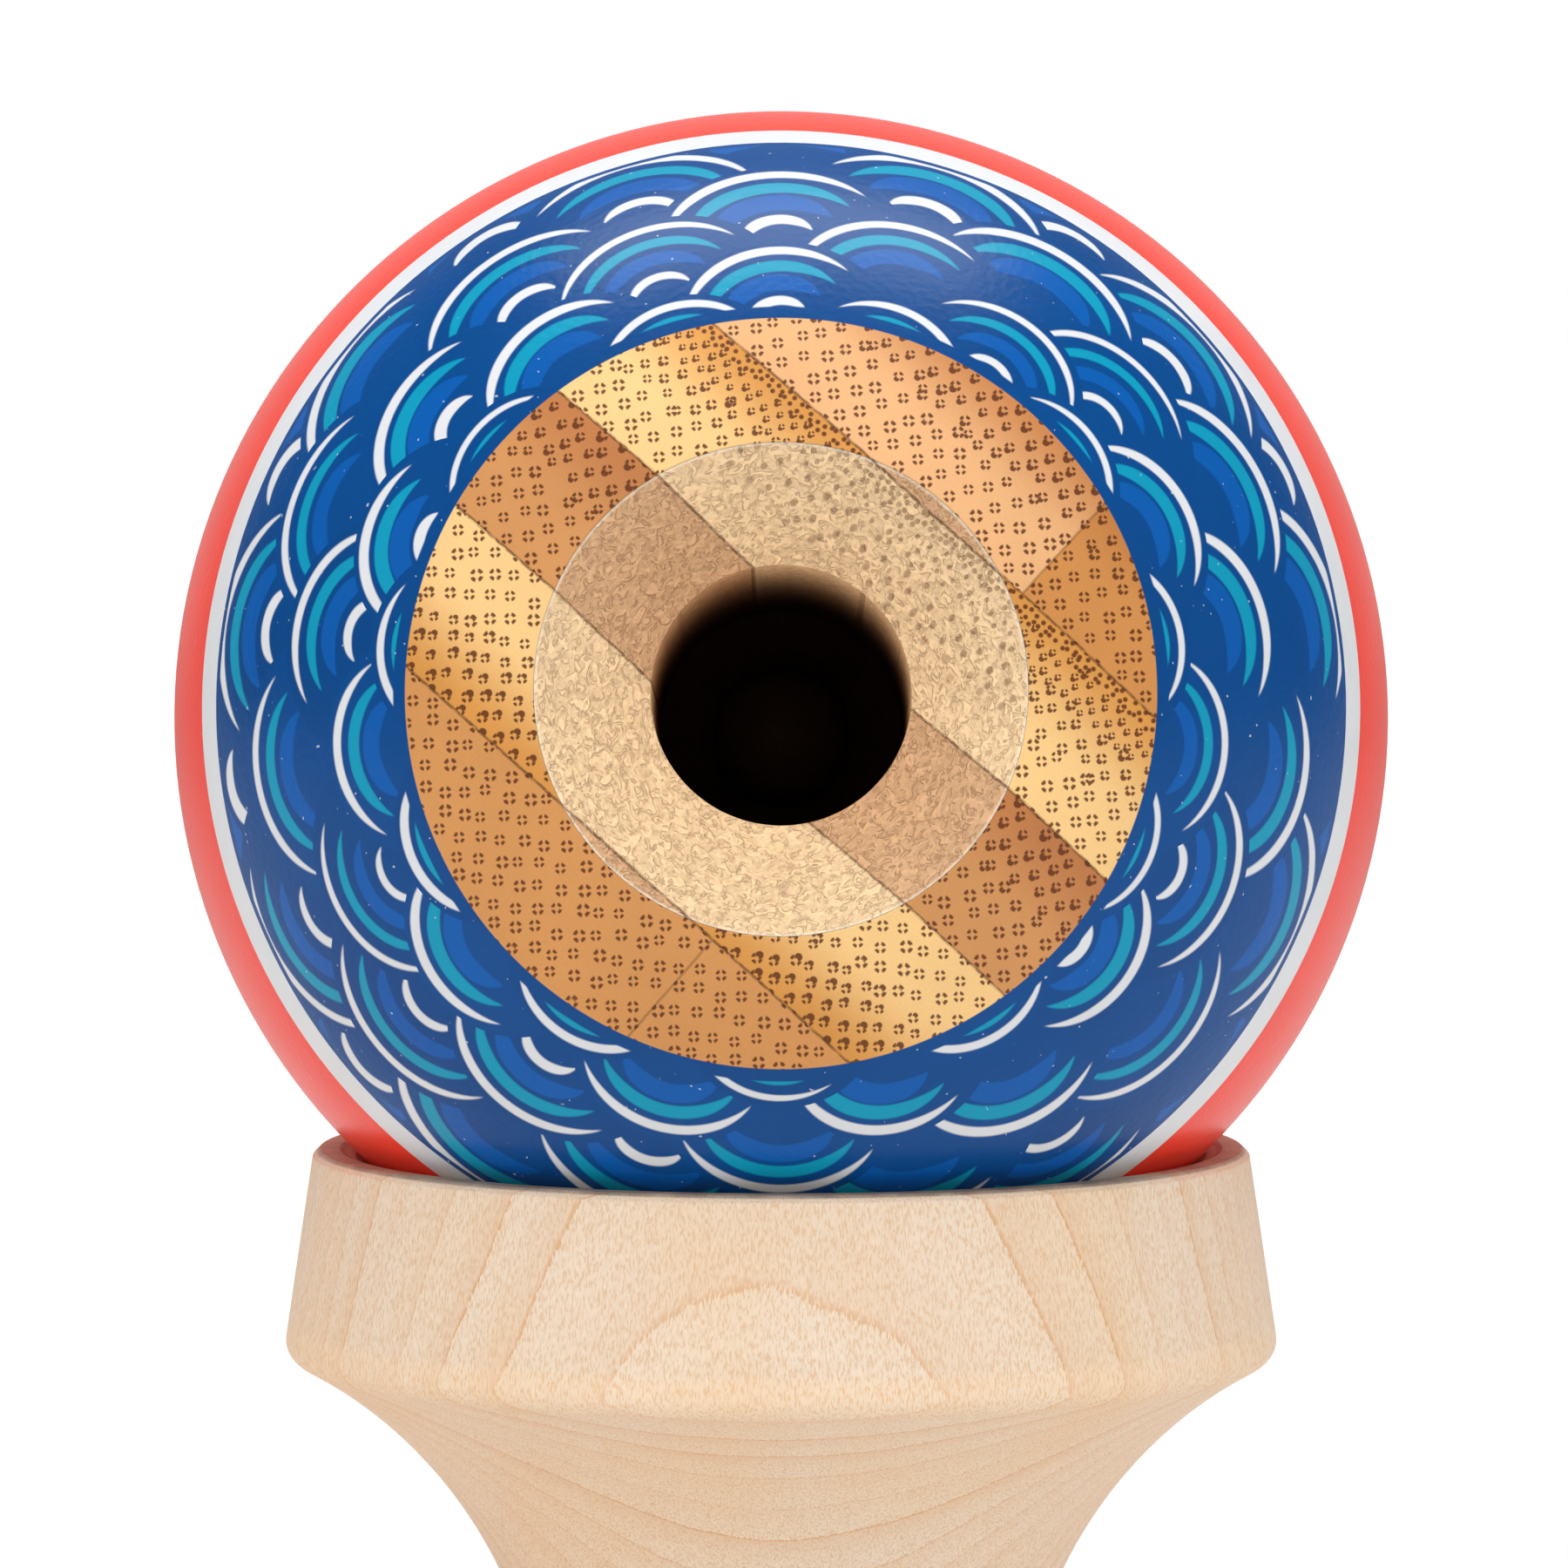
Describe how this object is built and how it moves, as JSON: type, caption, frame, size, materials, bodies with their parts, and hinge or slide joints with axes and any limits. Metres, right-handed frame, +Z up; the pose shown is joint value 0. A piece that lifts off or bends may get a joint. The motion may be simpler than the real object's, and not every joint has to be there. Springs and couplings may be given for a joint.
{
  "type": "kendama",
  "caption": "Wooden cup-and-ball toy: a drilled ball of laminated bamboo rests in a cup of a turned crosspiece, which a handle with a spike and a base cup passes through.",
  "frame": {"origin": "centre of the small cup's rim, on which the toy stands", "axes": "+Z up the crosspiece towards the big cup and the ball, +X along the handle's spike, -Y the way the ball's hole faces"},
  "size_m": [0.1572, 0.0587, 0.121],
  "materials": {
    "maple": "sanded, unvarnished",
    "bamboo_straw": "lacquered outside, raw in the hole",
    "bamboo_caramel": "lacquered outside, raw in the hole",
    "bead_wood": "stained dark"
  },
  "bodies": {
    "sarado": {"sarado_crosspiece": "maple"},
    "ken": {"ken_handle": "maple"},
    "bead": {"bead": "bead_wood"},
    "tama": {"tama_strip_1": "bamboo_caramel", "tama_strip_2": "bamboo_straw", "tama_strip_3": "bamboo_straw", "tama_strip_4": "bamboo_caramel", "tama_strip_5": "bamboo_caramel", "tama_strip_6": "bamboo_caramel", "tama_strip_7": "bamboo_caramel", "tama_strip_8": "bamboo_straw", "tama_strip_9": "bamboo_straw", "tama_strip_10": "bamboo_caramel", "tama_strip_11": "bamboo_caramel"}
  },
  "joints": [
    {"name": "ken_slide", "type": "slide", "parent": "sarado", "child": "ken", "axis": [-1, 0, 0], "range_m": [0, 0.105]},
    {"name": "tama_lift", "type": "slide", "parent": "sarado", "child": "bead", "axis": [0, 0, 1], "range_m": [0, 0.3]},
    {"name": "tama_spin", "type": "hinge", "parent": "bead", "child": "tama", "pos_m": [0, 0, 0.09103], "axis": [0, -0.9945, 0.1045], "continuous": true}
  ]
}
